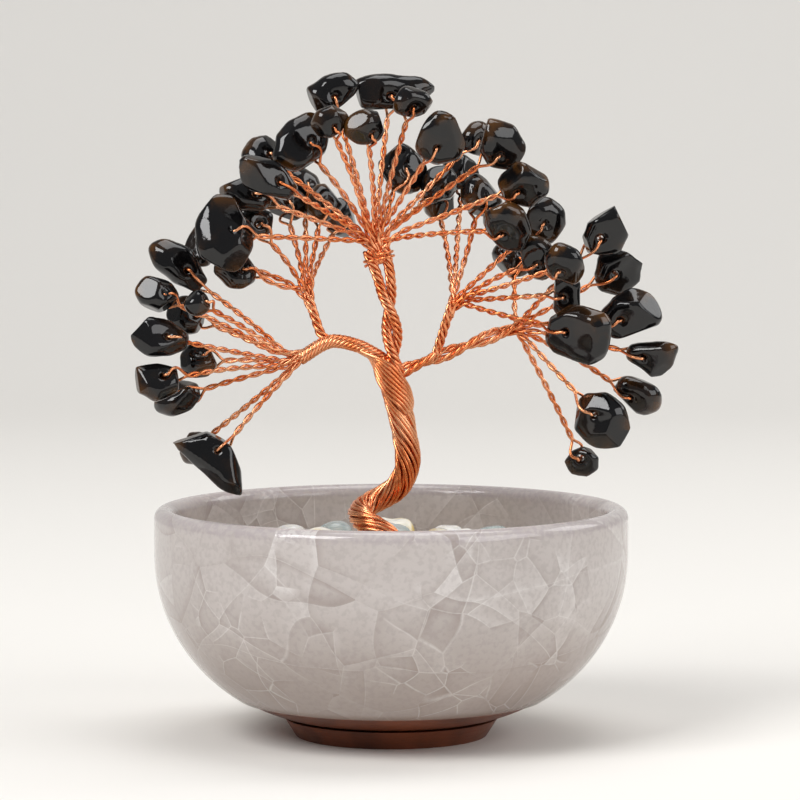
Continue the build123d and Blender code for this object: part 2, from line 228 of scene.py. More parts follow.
PAINTED_SHADE_SHARES = {"To_Min": 0.6, "To_Max": 0}
THIN_SHARES = {"To_Min": 0.7, "To_Max": 0}
WARE_ROUGHNESS = {"To_Min": 0.13, "To_Max": 0.42}
nodes = frame["nodes"]


def panes(tree, place, size):
    """Return the lean of each pane, strongest beside its crack, and how near a point is to the crack."""
    cell = add(tree, "ShaderNodeTexVoronoi", "Position", Vector=place, Scale=1 / size)
    edge = add(tree, "ShaderNodeTexVoronoi", "Distance", TO_EDGE, Vector=place, Scale=1 / size)
    out = add(tree, "ShaderNodeVectorMath", 0, LESS, in_0=place, in_1=cell)
    way = add(tree, "ShaderNodeVectorMath", 0, LESS, in_0=cell.node.outputs["Color"], in_1=HALF)
    lean = add(tree, "ShaderNodeVectorMath", "Value", ALONG, in_0=out, in_1=way)
    lean = add(tree, "ShaderNodeMath", 0, TIMES, in_0=lean, in_1=1 / size)
    glow = add(tree, "ShaderNodeMapRange", 0, SOFT, Value=edge, From_Max=GLOW / size, **GLOW_SHARES)
    crack = add(tree, "ShaderNodeMapRange", 0, SOFT, Value=edge, From_Max=CRACK / size, **NEAR)
    return add(tree, "ShaderNodeMath", 0, TIMES, in_0=lean, in_1=glow), crack


def crazing(tree, place):
    """Return the tone of the glaze from pane to pane, its cracks, and how bright the cracks are."""
    stir = add(tree, "ShaderNodeTexNoise", "Color", Vector=place, Scale=1 / BEND_GRAIN, Detail=BEND_DETAIL)
    stir = add(tree, "ShaderNodeVectorMath", 0, LESS, in_0=stir, in_1=HALF)
    bent = add(tree, "ShaderNodeVectorMath", 0, TIMES_ADD, in_0=stir, in_1=[CRACK_BEND] * 3, in_2=place)
    long = add(tree, "ShaderNodeVectorMath", 0, TIMES, in_0=bent, in_1=ARC_STRETCH)
    arc_lean, arc_crack = panes(tree, long, ARC_PANE)
    large_lean, large_crack = panes(tree, bent, LARGE_PANE)
    small_lean, small_crack = panes(tree, bent, SMALL_PANE)
    patch = add(tree, "ShaderNodeTexNoise", Vector=place, Scale=1 / PATCH_GRAIN)
    patch = add(tree, "ShaderNodeMapRange", 0, SOFT, Value=patch, **PATCH_SHARES)
    small_lean = add(tree, "ShaderNodeMath", 0, TIMES, in_0=small_lean, in_1=patch)
    small_crack = add(tree, "ShaderNodeMath", 0, TIMES, in_0=small_crack, in_1=patch)
    tone = add(tree, "ShaderNodeMath", 0, TIMES_ADD, in_0=arc_lean, in_1=ARC_CONTRAST, in_2=MID_TONE)
    for lean in (large_lean, small_lean):
        tone = add(tree, "ShaderNodeMath", 0, TIMES_ADD, in_0=lean, in_1=PANE_CONTRAST, in_2=tone)
    cracks = add(tree, "ShaderNodeMath", 0, LARGER, in_0=arc_crack, in_1=large_crack)
    cracks = add(tree, "ShaderNodeMath", 0, LARGER, in_0=cracks, in_1=small_crack)
    bright = add(tree, "ShaderNodeTexNoise", Vector=bent, Scale=1 / PATCH_GRAIN, Detail=GLAZE_DETAIL)
    bright = add(tree, "ShaderNodeMapRange", 0, SOFT, Value=bright, **CRACK_SHARES)
    return tone, cracks, add(tree, "ShaderNodeMath", 0, TIMES, in_0=cracks, in_1=bright)


def make_stoneware():
    """Return the bowl's material: crazed glaze above its edge, bare clay below."""
    material, tree, shader = new_material("crackle_glaze_stoneware", IOR=GLAZE_IOR)
    place = add(tree, "ShaderNodeTexCoord", "Object")
    height = add(tree, "ShaderNodeSeparateXYZ", "Z", Vector=place)
    tone, cracks, shown_cracks = crazing(tree, place)
    # Painted shade: the glaze is painted darker towards the bottom of the bowl, fading out higher up.
    low = add(
        tree, "ShaderNodeMapRange", 0, SOFT, Value=height,
        From_Min=PAINTED_SHADE_START, From_Max=PAINTED_SHADE_END, **PAINTED_SHADE_SHARES,
    )
    speck = add(tree, "ShaderNodeTexNoise", Vector=place, Scale=1 / FLECK_GRAIN, Detail=GLAZE_DETAIL)
    fleck = add(tree, "ShaderNodeMapRange", 0, SOFT, Value=speck, **FLECK_SHARES)
    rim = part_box("bowl")[1][2]
    rim_near = add(
        tree, "ShaderNodeMapRange", 0, SOFT, Value=height,
        From_Min=rim - RIM_BAND, From_Max=rim - RIM_BAND / 2,
    )
    rim_speck = add(tree, "ShaderNodeMapRange", 0, SOFT, Value=speck, **RIM_SHARES)
    rim_share = add(tree, "ShaderNodeMath", 0, TIMES, in_0=rim_near, in_1=rim_speck)
    thin = add(
        tree, "ShaderNodeMapRange", 0, SOFT, Value=height,
        From_Min=GLAZE_EDGE, From_Max=GLAZE_EDGE + EDGE_THIN, **THIN_SHARES,
    )
    bare = add(
        tree, "ShaderNodeMapRange", 0, SOFT, Value=height,
        From_Min=GLAZE_EDGE - EDGE_FADE, From_Max=GLAZE_EDGE + EDGE_FADE, **NEAR,
    )
    firing = add(tree, "ShaderNodeTexNoise", Vector=place, Scale=1 / CLAY_GRAIN, Detail=CLAY_DETAIL)
    firing = add(tree, "ShaderNodeMapRange", 0, SOFT, Value=firing, **FIRING_SHARES)
    clay = add(tree, "ShaderNodeMix", 2, COLOURS, in_0=firing, in_6=CLAY_DARK, in_7=CLAY_BROWN)
    ware = add(tree, "ShaderNodeMix", 2, COLOURS, in_0=tone, in_6=GLAZE_DEEP, in_7=GLAZE_PALE)
    layers = (
        (low, GLAZE_PAINTED_SHADE), (shown_cracks, GLAZE_CRACK), (fleck, GLAZE_FLECK),
        (rim_share, RIM_MAUVE), (thin, GLAZE_THIN), (bare, clay),
    )
    for share, colour in layers:
        ware = add(tree, "ShaderNodeMix", 2, COLOURS, in_0=share, in_6=ware, in_7=colour)
    rough = add(tree, "ShaderNodeMapRange", 0, SOFT, Value=bare, **WARE_ROUGHNESS)
    turned = add(tree, "ShaderNodeVectorMath", 0, TIMES, in_0=place, in_1=COIL_STRETCH)
    coils = add(tree, "ShaderNodeTexNoise", Vector=turned, Scale=1 / COIL_GRAIN)
    surface = add(tree, "ShaderNodeTexNoise", Vector=place, Scale=1 / GLAZE_SWELL)
    for rise, share in ((tone, TONE_RELIEF), (cracks, CRACK_RELIEF), (coils, bare)):
        surface = add(tree, "ShaderNodeMath", 0, TIMES_ADD, in_0=rise, in_1=share, in_2=surface)
    bump = add(
        tree, "ShaderNodeBump", Height=surface, Strength=RELIEF_STRENGTH, Distance=GLAZE_RELIEF
    )
    tree.links.new(ware, shader.inputs["Base Color"])
    tree.links.new(rough, shader.inputs["Roughness"])
    tree.links.new(bump, shader.inputs["Normal"])
    return material


def dress(node, material):
    """Give a CAD node its finish."""
    nodes[node].data.materials.clear()
    nodes[node].data.materials.append(material)


dress("bowl", make_stoneware())


# Setting bed: casting plaster poured round the root and left rough from the trowel.
# It is matt and slightly stained, with fine grit. It carries the tree and the loose stones.
PLASTER_PALE = "#d6d1c7"
PLASTER_STAIN = "#b7afa4"
PLASTER_ROUGHNESS = 0.85
STAIN_GRAIN = 9 * MM
STAIN_DETAIL = 4
STAIN_SHARES = {"From_Min": 0.3, "From_Max": 0.7}
GRIT_GRAIN = 0.7 * MM
GRIT_RELIEF = 0.3 * MM
GRIT_STRENGTH = 0.6


def make_plaster():
    """Return rough cast plaster."""
    material, tree, shader = new_material("cast_plaster", Roughness=PLASTER_ROUGHNESS)
    place = add(tree, "ShaderNodeTexCoord", "Object")
    stain = add(tree, "ShaderNodeTexNoise", Vector=place, Scale=1 / STAIN_GRAIN, Detail=STAIN_DETAIL)
    stain = add(tree, "ShaderNodeMapRange", 0, SOFT, Value=stain, **STAIN_SHARES)
    tint = add(tree, "ShaderNodeMix", 2, COLOURS, in_0=stain, in_6=PLASTER_STAIN, in_7=PLASTER_PALE)
    grit = add(tree, "ShaderNodeTexNoise", Vector=place, Scale=1 / GRIT_GRAIN)
    bump = add(tree, "ShaderNodeBump", Height=grit, Strength=GRIT_STRENGTH, Distance=GRIT_RELIEF)
    tree.links.new(tint, shader.inputs["Base Color"])
    tree.links.new(bump, shader.inputs["Normal"])
    return material


dress("setting_bed", make_plaster())


# Loose stones: tumbled quartz chips, milky white, white with honey spots, and clear aqua.
# Tumbling leaves them smooth and rounded, with cloudy veils inside. They lie on the bed.
STONE_VOXEL = 0.26 * MM
STONE_SWELL = 0.55 * MM
STONE_GRAIN = 2.6 * MM
STONE_PLUMP = 0.6 * MM
STONE_ROUNDS = 12
QUARTZ_IOR = 1.54
QUARTZ_DEPTH = (1.2 * MM, 1.1 * MM, 0.9 * MM)
QUARTZ_GLOW = 0.35
AQUA_CLEAR = 0.5
VEIL_GRAIN = 3.6 * MM
VEIL_DETAIL = 5
VEIL_SHARES = {"From_Min": 0.42, "From_Max": 0.68}
QUARTZ_ROUGHNESS = {"From_Min": 0.3, "From_Max": 0.7, "To_Min": 0.1, "To_Max": 0.28}
SEED_STEP = Vector((1.37, 0.71, 2.13))
MERGE_GAP = 0.001 * MM


def islands(node):
    """Return the corners and faces of each separate solid of a node."""
    work = bmesh.new()
    work.from_mesh(nodes[node].data)
    bmesh.ops.remove_doubles(work, verts=work.verts, dist=MERGE_GAP)
    work.verts.index_update()
    seen = set()
    found = []
    for first in work.verts:
        if first in seen:
            continue
        seen.add(first)
        members = [first]
        for corner in members:
            for edge in corner.link_edges:
                other = edge.other_vert(corner)
                if other not in seen:
                    seen.add(other)
                    members.append(other)
        order = {corner: i for i, corner in enumerate(members)}
        faces = {face for corner in members for face in corner.link_faces}
        corner_lists = sorted([order[corner] for corner in face.verts] for face in faces)
        found.append((np.array([corner.co[:] for corner in members]), corner_lists))
    work.free()
    return found


def remeshed(points, faces, voxel):
    """Return the corners, edges and faces of a solid cut into small even squares."""
    rough = bpy.data.meshes.new("rough")
    rough.from_pydata([tuple(point) for point in points], [], faces)
    holder = place_on_stage("rough", rough)
    cut = holder.modifiers.new("cut", "REMESH")
    cut.mode = "VOXEL"
    cut.voxel_size = voxel
    even = bpy.data.meshes.new_from_object(holder.evaluated_get(bpy.context.evaluated_depsgraph_get()))
    corners = np.array([corner.co[:] for corner in even.vertices])
    edges = np.array([edge.vertices[:] for edge in even.edges])
    squares = [tuple(square.vertices) for square in even.polygons]
    bpy.data.objects.remove(holder)
    bpy.data.meshes.remove(rough)
    bpy.data.meshes.remove(even)
    return corners, edges, squares


def relaxed(points, edges, rounds):
    """Return points drawn towards their neighbours, a number of rounds over."""
    count = np.bincount(edges.ravel(), minlength=len(points))[:, None]
    for _ in range(rounds):
        total = np.zeros_like(points)
        np.add.at(total, edges[:, 0], points[edges[:, 1]])
        np.add.at(total, edges[:, 1], points[edges[:, 0]])
        points = (points + total / count) / 2
    return points


def unit(vector):
    """Return a vector, or each row of a table of them, at length one."""
    return vector / np.linalg.norm(vector, axis=-1, keepdims=True)


def outward(points, squares):
    """Return the unit normal at each point."""
    first, second, third, fourth = np.array(squares).T
    tilt = np.cross(points[third] - points[first], points[fourth] - points[second])
    normals = np.zeros_like(points)
    for corner in (first, second, third, fourth):
        np.add.at(normals, corner, tilt)
    return unit(normals)


def swelled(points, squares, plump, swell, size, seed):
    """Return points moved out evenly and by slow swells."""
    rise = [plump + swell * noise.noise(Vector(point) / size + seed * SEED_STEP) for point in points]
    return points + outward(points, squares) * np.array(rise)[:, None]


def joined(solids):
    """Return the points and faces of several solids as one list each."""
    points = np.concatenate([solid[0] for solid in solids])
    faces = []
    base = 0
    for corners, squares in solids:
        faces += [tuple(base + i for i in square) for square in squares]
        base += len(corners)
    return points, faces


def show(name, mesh, body, slot, *replaced):
    """Add a piece that rides on a body and stands for the named nodes."""
    piece = place_on_stage(name, mesh)
    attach(piece, body)
    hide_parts(*replaced)


def quartz(name, pale, deep, clear_share):
    """Return a tumbled quartz with cloudy veils between two colours."""
    material, tree, shader = new_material(
        name, IOR=QUARTZ_IOR, Transmission_Weight=clear_share,
        Subsurface_Weight=QUARTZ_GLOW * (1 - clear_share), Subsurface_Radius=QUARTZ_DEPTH,
    )
    place = add(tree, "ShaderNodeTexCoord", "Object")
    cloud = add(tree, "ShaderNodeTexNoise", Vector=place, Scale=1 / VEIL_GRAIN, Detail=VEIL_DETAIL)
    veil = add(tree, "ShaderNodeMapRange", 0, SOFT, Value=cloud, **VEIL_SHARES)
    tint = add(tree, "ShaderNodeMix", 2, COLOURS, in_0=veil, in_6=pale, in_7=deep)
    rough = add(tree, "ShaderNodeMapRange", 0, SOFT, Value=cloud, **QUARTZ_ROUGHNESS)
    tree.links.new(tint, shader.inputs["Base Color"])
    tree.links.new(rough, shader.inputs["Roughness"])
    return material


stone_looks = {
    "white_stones": quartz("milky_quartz", "#faf8f3", "#e9e6de", 0),
    "yellow_stones": quartz("honey_quartz", "#f9f5e8", "#e8c75e", 0),
    "clear_stones": quartz("aqua_quartz", "#e3ebe9", "#b9d0d1", AQUA_CLEAR),
}
for node, look in stone_looks.items():
    worn = []
    for seed, (points, faces) in enumerate(islands(node)):
        corners, edges, squares = remeshed(points, faces, STONE_VOXEL)
        corners = relaxed(corners, edges, STONE_ROUNDS)
        worn.append((swelled(corners, squares, STONE_PLUMP, STONE_SWELL, STONE_GRAIN, seed), squares))
    show("tumbled_" + node, smooth_mesh(node, *joined(worn), look), "tree", node, node)


# Trunk: the copper wires of the whole tree wound into one thick bundle, its foot bent into a loop.
# The wire is soft, drawn bright and never lacquered, so it is rose-orange with a satin gloss. The
# outer wires lie over more wires inside, and run on at the top into the ropes of the boughs.
COPPER_BRIGHT = "#f8b184"
COPPER_WARM = "#e2824c"
COPPER_ROUGHNESS = {"From_Min": 0.3, "From_Max": 0.7, "To_Min": 0.22, "To_Max": 0.32}
TARNISH_GRAIN = 5 * MM
TARNISH_DETAIL = 3
TARNISH_SHARES = {"From_Min": 0.35, "From_Max": 0.65}
# Drawing marks are far finer on real wire. They are drawn this coarse so that they show.
DRAWN_GRAIN = 0.6 * MM
STRAND_RADIUS = 0.24 * MM
STRAND_FILL = 0.9
WIRE_SIDES = 8
ROPE_STEP = 0.35 * MM
EASE_ROUNDS = 3
FEWEST_STEPS = 4
TRUNK_LAY = 19 * MM
TRUNK_LAYERS = 3
LAYER_SHARE = 1.7
HEAD_RISE = 3.5 * MM
HEAD_TAPER = 0.62
HEAD_CURVE = 1.4
HEAD_SHARES = (0.45, 0.55)
WANDER = 0.16 * MM
PHASE_WANDER = 0.4
WANDER_SHARE = 0.03
STRAND_SHIFT = 5.3
END_SHIFT = 1.7
# The noise is nought at whole numbers, so single draws are taken half-way between them.
BETWEEN = 0.5
HEAD_STEPS = 4
RING_GAP = 0.01 * MM


def make_copper():
    """Return bright drawn copper."""
    material, tree, shader = new_material("drawn_copper", Metallic=1)
    place = add(tree, "ShaderNodeTexCoord", "Object")
    tarnish = add(tree, "ShaderNodeTexNoise", Vector=place, Scale=1 / TARNISH_GRAIN, Detail=TARNISH_DETAIL)
    tarnish = add(tree, "ShaderNodeMapRange", 0, SOFT, Value=tarnish, **TARNISH_SHARES)
    tint = add(tree, "ShaderNodeMix", 2, COLOURS, in_0=tarnish, in_6=COPPER_WARM, in_7=COPPER_BRIGHT)
    drawn = add(tree, "ShaderNodeTexNoise", Vector=place, Scale=1 / DRAWN_GRAIN)
    rough = add(tree, "ShaderNodeMapRange", 0, SOFT, Value=drawn, **COPPER_ROUGHNESS)
    tree.links.new(tint, shader.inputs["Base Color"])
    tree.links.new(rough, shader.inputs["Roughness"])
    return material


copper = make_copper()


def carried_sides(line):
    """Return two unit vectors across a line at each point, carried along it without spin."""
    along = unit(np.gradient(line, axis=0))
    side = np.cross(along[0], (0, 1, 0))
    sides = []
    for way in along:
        side = unit(side - way * side.dot(way))
        sides.append(side)
    return np.array(sides), np.cross(along, sides)


def wire_mesh(name, routes, radius):
    """Return a mesh of round wires, one along each route, closed at both ends."""
    turns = np.arange(WIRE_SIDES)[:, None] * math.tau / WIRE_SIDES
    solids = []
    for route in routes:
        side, across = carried_sides(route)
        ring = side[:, None] * np.cos(turns) + across[:, None] * np.sin(turns)
        corners = (route[:, None] + ring * radius).reshape(-1, 3)
        faces = [tuple(reversed(range(WIRE_SIDES)))]
        for start in range(0, len(corners) - WIRE_SIDES, WIRE_SIDES):
            end = start + WIRE_SIDES
            for k in range(WIRE_SIDES):
                after = (k + 1) % WIRE_SIDES
                faces.append((start + k, start + after, end + after, end + k))
        faces.append(tuple(range(len(corners) - WIRE_SIDES, len(corners))))
        solids.append((corners, faces))
    return smooth_mesh(name, *joined(solids), copper)


def travelled(line):
    """Return how far along a line each of its points is."""
    return np.concatenate([[0], np.cumsum(np.linalg.norm(np.diff(line, axis=0), axis=1))])


def evened(line, step):
    """Return a line with its points evenly spaced and its bends eased."""
    far = travelled(line)
    places = np.linspace(0, far[-1], max(FEWEST_STEPS, int(far[-1] / step)) + 1)
    even = np.stack([np.interp(places, far, axis) for axis in line.T], axis=1)
    for _ in range(EASE_ROUNDS):
        even[1:-1] = (even[:-2] + 2 * even[1:-1] + even[2:]) / 4
    return even


def wound(line, reach, phase, lay):
    """Return the route of a strand wound round a line at a reach from it."""
    angle = (phase - math.tau * travelled(line) / lay)[:, None]
    side, across = carried_sides(line)
    return line + (side * np.cos(angle) + across * np.sin(angle)) * np.reshape(reach, (-1, 1))


def trunk_rings():
    """Return the middle and the radius of each ring of the CAD trunk, from the root upwards."""
    points, faces = islands("trunk")[0]
    beside = {i: set() for i in range(len(points))}
    for face in faces:
        for i, corner in enumerate(face):
            beside[corner].update((face[i - 1], face[(i + 1) % len(face)]))
    ring = {i for i, point in enumerate(points) if point[2] < points[:, 2].min() + RING_GAP}
    done = set()
    middles = []
    radii = []
    while ring:
        members = points[sorted(ring)]
        middles.append(members.mean(axis=0))
        radii.append(np.linalg.norm(members - middles[-1], axis=1).max())
        done |= ring
        ring = {other for corner in ring for other in beside[corner]} - done
    return np.array(middles), np.array(radii)


def bundle(line, radius):
    """Return the routes of the trunk's wires, each with its own end in the bough ropes."""
    routes = []
    far = travelled(line)
    rise = far - (far[-1] - HEAD_RISE)
    for layer in range(TRUNK_LAYERS):
        reach = radius - STRAND_RADIUS * (1 + LAYER_SHARE * layer)
        girth = math.tau * reach.mean()
        slant = math.cos(math.atan(girth / TRUNK_LAY))
        count = int(STRAND_FILL * girth * slant / (2 * STRAND_RADIUS))
        for k in range(count):
            places = [Vector((i * WANDER_SHARE, k * STRAND_SHIFT, layer)) for i in range(len(line))]
            sway = np.array([noise.noise(place) for place in places])
            early, late = HEAD_SHARES
            end = HEAD_RISE * (early + late * abs(noise.noise(Vector((k * END_SHIFT, layer, BETWEEN)))))
            taper = 1 - HEAD_TAPER * np.clip(rise / end, 0, 1) ** HEAD_CURVE
            phase = math.tau * k / count + layer + PHASE_WANDER * sway[::-1]
            routes.append(wound(line, reach * taper + WANDER * sway, phase, TRUNK_LAY)[rise <= end])
    return routes


trunk_middles, trunk_radii = trunk_rings()
trunk_path = evened(trunk_middles, ROPE_STEP)
ring_places = np.linspace(0, 1, len(trunk_radii))
trunk_reach = np.interp(np.linspace(0, 1, len(trunk_path)), ring_places, trunk_radii)
head_rises = np.arange(ROPE_STEP, HEAD_RISE, ROPE_STEP)[:, None]
head_way = unit(trunk_path[-1] - trunk_path[-HEAD_STEPS])
head_path = np.concatenate([trunk_path, trunk_path[-1] + head_rises * head_way])
head_reach = np.concatenate([trunk_reach, np.full(len(head_rises), trunk_reach[-1])])
trunk_mesh = wire_mesh("trunk_wires", bundle(head_path, head_reach), STRAND_RADIUS)
show("trunk_wires", trunk_mesh, "tree", "copper_wire", "trunk")


# Boughs: the trunk's copper wires parted into smaller ropes. The leader and the right bough are two
# plies wound together, and the leader's stand apart below its head, where a short wire is tied
# round them. Wires of the left bough lap down over the front of the trunk.
PLY_LAY = 5 * MM
PLY_FILL = 0.85
ROPE_LAY = 13 * MM
ROPE_SWELL = 1.15
SLIT_LENGTH = 5.2 * MM
SLIT_HALF = 0.5 * MM
FEWEST_WIRES = 3
LEAD_BACK = 4 * MM
LEAD_EASE = 1.2 * MM
LEAD_POINTS = 14
AWAY_SHARE = 0.2
FULL_SHARE = 0.7
SLICE_LAP = 0.5 * MM
SLICES = 6
LAP_WIRES = 8
LAP_DROP = 7 * MM
LAP_SINK = 1.6 * MM
LAP_OUT = 8.5 * MM
LAP_EASE = 1.8 * MM
LAP_PHASE = -0.1
LAP_STEP = 2.1
LAP_SHARES = (2, 3.2)
LAP_POINTS = 16
LAP_STEPS = 3
WAY_STEPS = 8
TIE_RADIUS = 0.2 * MM
TIE_LAY = 0.62 * MM
TIE_HALF = 0.55 * MM
TIE_POINTS = 60
bough_parents = {
    "leader": ("trunk", 2),
    "left_bough": ("trunk", 1),
    "right_bough": ("trunk", 2),
    "left_upper_bough": ("left_bough", 1),
    "right_upper_bough": ("right_bough", 1),
}


def bezier(corners, count):
    """Return points on a Bezier curve with the given corners."""
    share = np.linspace(0, 1, count)[:, None]
    level = [corner + 0 * share for corner in corners]
    while len(level) > 1:
        level = [low * (1 - share) + high * share for low, high in zip(level, level[1:])]
    return level[0]


def bough_line(node):
    """Return the middle line of a CAD bough from its lower end, and its full radius."""
    points = islands(node)[0][0]
    middle = points.mean(axis=0)
    main_way = np.linalg.svd(points - middle, full_matrices=False)[2][0]
    main_way *= np.sign(main_way.dot(middle - trunk_middles[-1]))
    far = (points - middle) @ main_way
    cuts = np.linspace(far.min(), far.max(), SLICES + 1)
    line = []
    for low, high in zip(cuts, cuts[1:]):
        line.append(points[(far >= low - SLICE_LAP) & (far <= high + SLICE_LAP)].mean(axis=0))
    start = line[0] + (line[0] - line[1]) / 2
    end = line[-1] + (line[-1] - line[-2]) / 2
    line = np.array([start, *line, end])
    off_line = np.linalg.norm(points[:, None] - evened(line, ROPE_STEP), axis=2).min(axis=1)
    return line, np.quantile(off_line, FULL_SHARE)


def lead_in(line, parent):
    """Return a bough's line with a curve before it that runs out of the rope that carries it."""
    nearest = np.linalg.norm(parent - line[0], axis=1).argmin()
    under = parent[max(0, nearest - int(LEAD_BACK / ROPE_STEP))]
    away = (line[0] - parent[nearest]) * AWAY_SHARE
    ease = unit(line[1] - line[0]) * LEAD_EASE
    curve = bezier([under + away, parent[nearest], line[0] - ease, line[0]], LEAD_POINTS)
    return np.concatenate([curve[:-1], line])


def ply_lines(line, radius, plies, phase):
    """Return the middle line of each ply of a rope, and the radius of a ply."""
    radius = radius * ROPE_SWELL if plies > 1 else radius
    ply_radius = radius / plies
    phases = [math.tau * ply / plies + phase for ply in range(plies)]
    return [wound(line, radius - ply_radius, start, ROPE_LAY) for start in phases], ply_radius


def parted_plies(line, radius):
    """Return the leader's two plies, wound below and side by side with a slit at the head."""
    ply_radius = radius * ROPE_SWELL / 2
    far = travelled(line)
    slit_foot = far[-1] - SLIT_LENGTH
    reach = ply_radius + SLIT_HALF * np.clip((far - slit_foot) / SLIT_LENGTH, 0, 1)
    phase = math.tau * np.maximum(far, slit_foot) / ROPE_LAY
    return [wound(line, reach, phase + turn, ROPE_LAY) for turn in (0, math.pi)], ply_radius


def plied(lines, ply_radius, phase):
    """Return the routes of the wires of a rope laid up from plies."""
    reach = max(ply_radius - STRAND_RADIUS, STRAND_RADIUS)
    wires = max(FEWEST_WIRES, int(PLY_FILL * math.pi / math.asin(STRAND_RADIUS / reach)))
    routes = []
    for ply in lines:
        routes += [wound(ply, reach, math.tau * k / wires + phase, PLY_LAY) for k in range(wires)]
        routes.append(ply)
    return routes


def lapped_wires(bough, bough_radius):
    """Return wires that leave a bough's foot and lap down over the front of the trunk."""
    far = travelled(trunk_path)
    rise = far - (far[-1] - LAP_DROP)
    low = trunk_path[rise >= 0]
    sunk, full = LAP_SHARES
    out = full * np.clip(rise[rise >= 0] / LAP_SINK, 0, 1) - sunk
    reach = trunk_reach[rise >= 0] + STRAND_RADIUS * out
    target = bough[np.abs(travelled(bough) - LAP_OUT).argmin()]
    routes = []
    for k in range(LAP_WIRES):
        top_phase = LAP_PHASE + k * LAP_STEP * STRAND_RADIUS / trunk_reach[-1]
        lap = wound(low, reach, top_phase + math.tau * travelled(low)[-1] / TRUNK_LAY, TRUNK_LAY)
        heading = unit(lap[-1] - lap[-LAP_STEPS]) * LAP_EASE
        turn = math.tau * k / LAP_WIRES
        edge = target + np.array([0, -math.cos(turn), math.sin(turn)]) * (bough_radius - STRAND_RADIUS)
        rest = bezier([lap[-1], lap[-1] + heading, edge - (target - lap[-1]) / 3, edge], LAP_POINTS)
        routes.append(evened(np.concatenate([lap, rest[1:]]), ROPE_STEP))
    return routes


def tie_route(leader, radius):
    """Return the route of the tie, drawn tight round the two plies of the leader's head."""
    middle = islands("crown_tie")[0][0].mean(axis=0)
    nearest = np.linalg.norm(leader - middle, axis=1).argmin()
    (first, second), ply_radius = parted_plies(leader, radius)
    spread = (first[nearest] - second[nearest]) / 2
    way = unit(leader[-1] - leader[-WAY_STEPS])
    line = leader[nearest] + np.linspace(-TIE_HALF, TIE_HALF, TIE_POINTS)[:, None] * way
    turned = wound(line, 1, 0, TIE_LAY) - line
    return line + turned * (np.abs(turned @ spread) + ply_radius + TIE_RADIUS)[:, None]


bough_lines = {"trunk": trunk_path}
for phase, (node, (parent, plies)) in enumerate(bough_parents.items()):
    line, radius = bough_line(node)
    bough_lines[node] = evened(lead_in(line, bough_lines[parent]), ROPE_STEP)
    if node == "leader":
        lines, ply_radius = parted_plies(bough_lines[node], radius)
        tie = wire_mesh("crown_tie_wire", [tie_route(bough_lines[node], radius)], TIE_RADIUS)
    else:
        lines, ply_radius = ply_lines(bough_lines[node], radius, plies, phase)
    routes = plied(lines, ply_radius, phase)
    if node == "left_bough":
        routes += lapped_wires(bough_lines[node], radius)
    name = node + "_wires"
    show(name, wire_mesh(name, routes, STRAND_RADIUS), "tree", "copper_wire", node)
show("crown_tie_wire", tie, "tree", "copper_wire", "crown_tie")


# Twigs: one copper wire each, folded through the hole of its chip and twisted back on itself.
# Some twigs are twisted looser than others, each has a slight bow, and the last loop stands open
# round the chip.
WIRE_RADIUS = 0.2 * MM
TWIST_PITCH = 3.8 * MM
TWIST_VARIES = 0.35
TWIST_SHIFT = 2.3
TWIST_STEP = 0.2 * MM
TWIST_SLACK = 1.15
SPREAD_DEPTH = 2.2 * MM
SPREAD_EASE = 0.8 * MM
SPREAD_POINTS = 14
TWIG_POINTS = 30
BOW = 0.7 * MM
BOW_SIDE = (0.2, 1, 0.1)
BOW_SHIFTS = (3.1, 2.7)
LOOP_ROUND = 0.45 * MM
LOOP_RISE = 0.8 * MM
LOOP_SWAY = 0.9 * MM
LOOP_BULGE = 1.35
LOOP_SHIFT = 1.9
LOOP_VARIES = 2
LEG_POINTS = 14
BEND_POINTS = 7
twig_boughs = {
    "crown": "leader",
    "left_upper": "left_upper_bough",
    "left_lower": "left_bough",
    "right_upper": "right_upper_bough",
    "right_lower": "right_bough",
}
loop_corners = [points for points, _ in islands("wire_loops")]


def twig_places(fan):
    """Return the start, tip, hole, hole axis and loop half-width of each CAD twig of a fan."""
    places = []
    bough_end = bough_lines[twig_boughs[fan]][-1]
    for points, _ in islands(fan + "_twigs"):
        middle = points.mean(axis=0)
        way = np.linalg.svd(points - middle, full_matrices=False)[2][0]
        way *= np.sign(way.dot(middle - bough_end))
        far = (points - middle) @ way
        tip = middle + way * far.max()
        loop = min(loop_corners, key=lambda corners: np.linalg.norm(corners - tip, axis=1).min())
        out = (loop - tip) @ way
        flat = (loop - tip) - out[:, None] * way
        axis = np.linalg.svd(flat, full_matrices=False)[2][0]
        leg = np.ptp(flat @ axis) / 2 - WIRE_RADIUS
        centre = (flat @ axis).max() - leg - WIRE_RADIUS
        hole = tip + way * (out.max() - WIRE_RADIUS) + axis * centre
        places.append((middle + way * far.min(), tip, hole, axis, leg))
    return places


def twig_line(start, tip, bough, seed):
    """Return a twig's middle line, out of its bough's end and on to its tip with a slight bow."""
    way = unit(tip - start)
    bough_way = unit(bough[-1] - bough[-WAY_STEPS])
    lean = way - bough_way * way.dot(bough_way)
    under = bough[-1] - bough_way * SPREAD_DEPTH + lean * WIRE_RADIUS * 2
    across = unit(np.cross(way, BOW_SIDE))
    first_shift, second_shift = BOW_SHIFTS
    bow = across * BOW * noise.noise(Vector((seed * first_shift, BETWEEN, 0)))
    bow = bow + np.cross(way, across) * BOW * noise.noise(Vector((BETWEEN, seed * second_shift, 0)))
    third = (tip - start) / 3
    foot = [under, under + bough_way * SPREAD_DEPTH, start - way * SPREAD_EASE, start]
    rest = [start, start + third + bow, tip - third + bow, tip]
    line = np.concatenate([bezier(foot, SPREAD_POINTS), bezier(rest, TWIG_POINTS)[1:]])
    return evened(line, TWIST_STEP)


